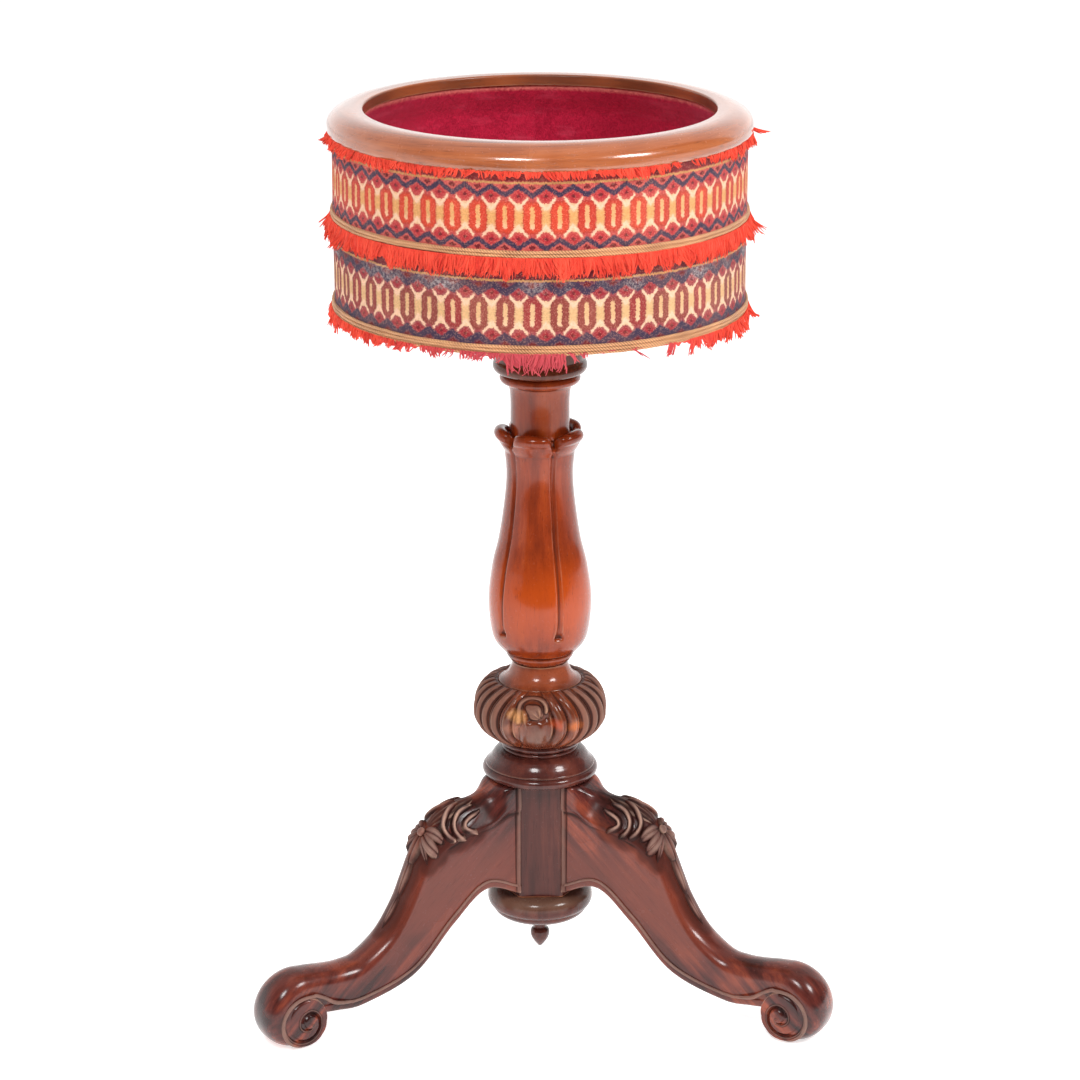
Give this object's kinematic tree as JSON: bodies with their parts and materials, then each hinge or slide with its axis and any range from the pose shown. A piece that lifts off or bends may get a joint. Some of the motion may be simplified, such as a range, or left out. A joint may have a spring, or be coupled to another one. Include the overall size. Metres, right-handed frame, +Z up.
{
  "type": "jardiniere stand",
  "caption": "Polished mahogany tripod stand with a leaf-carved pillar and scrolled feet, carrying a round felt-lined drum dressed in woven bands and red fringe, for holding a plant pot.",
  "frame": {"origin": "where the pillar's axis meets the floor that the three feet stand on", "axes": "+Z up along the pillar's axis; -Y towards the front, where a bare face of the leg block shows between two legs; one leg points along +Y"},
  "size_m": [0.4678, 0.4345, 0.7515],
  "materials": {
    "mahogany": "French-polished mahogany, worn on the carving",
    "pine": "plain softwood, unfinished",
    "felt": "crimson felt",
    "weave": "woven wool band in red, cream, orange and navy",
    "gold": "corded gold braid",
    "wool": "cut wool fringe",
    "iron": "dull iron wood screw"
  },
  "bodies": {
    "root": {"rim_moulding": "mahogany", "pillar_collar": "mahogany", "pillar": "mahogany", "carved_knop": "mahogany", "base_ring": "mahogany", "leg_block": "mahogany", "leg_rear": "mahogany", "leg_front_left": "mahogany", "leg_front_right": "mahogany", "base_boss": "mahogany", "pendant_finial": "mahogany", "drum_hoop": "pine", "drum_floor": "pine", "bearer_disc": "pine", "lining_wall": "felt", "lining_floor": "felt", "band_upper": "weave", "band_lower": "weave", "braid_middle": "gold", "braid_bottom": "gold", "fringe_top": "wool", "fringe_middle": "wool", "fringe_bottom": "wool", "bearer_screw_1": "iron", "bearer_screw_2": "iron", "bearer_screw_3": "iron", "bearer_screw_4": "iron"}
  },
  "joints": []
}
